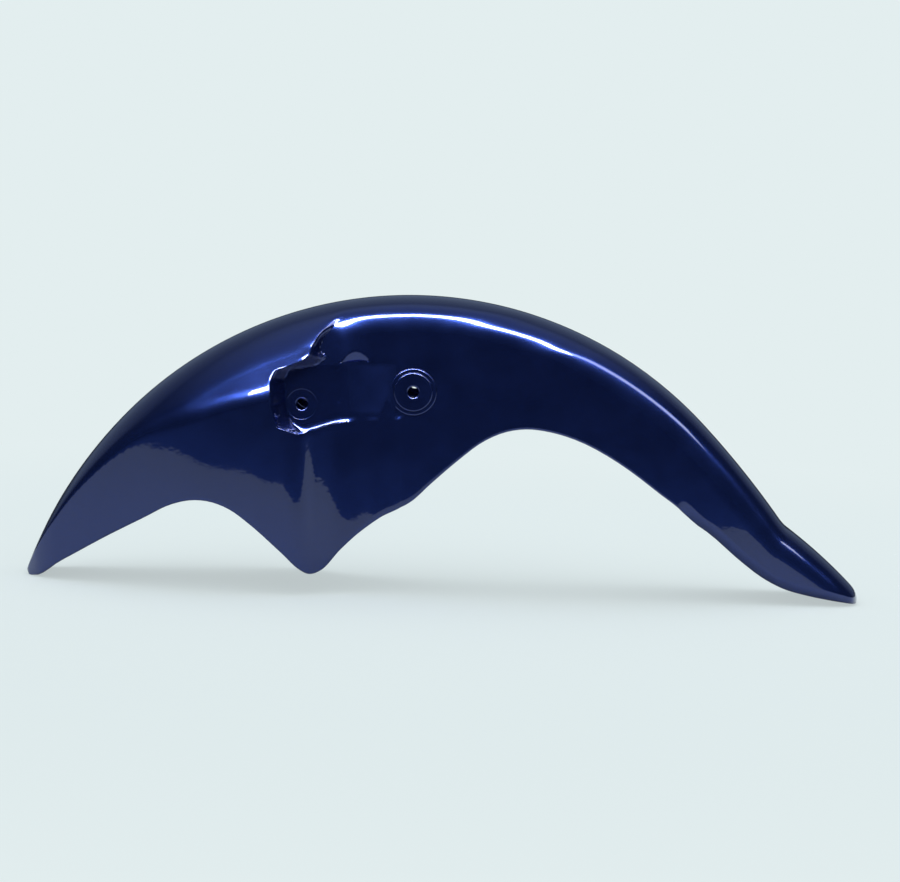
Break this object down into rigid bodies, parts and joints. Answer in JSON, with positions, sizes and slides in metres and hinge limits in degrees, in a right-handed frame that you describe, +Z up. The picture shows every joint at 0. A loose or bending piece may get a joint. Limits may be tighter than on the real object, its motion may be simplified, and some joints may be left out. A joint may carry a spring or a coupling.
{
  "type": "motorcycle front mudguard",
  "caption": "One-piece moulded front mudguard: arched thin shell with wide front wing, two ears, fork recesses with bolt holes and a long kicked-out tail.",
  "frame": {"origin": "on the ground under the middle of the part's box, halfway between its sides", "axes": "+X to the rear of the motorcycle, +Y across to its right side, +Z up; the part stands on its nose and tail"},
  "size_m": [0.7232, 0.1784, 0.2525],
  "materials": {
    "paint": "metallic deep blue paint under clear coat, dark plastic inside"
  },
  "bodies": {
    "root": {"mudguard": "paint"}
  },
  "joints": []
}
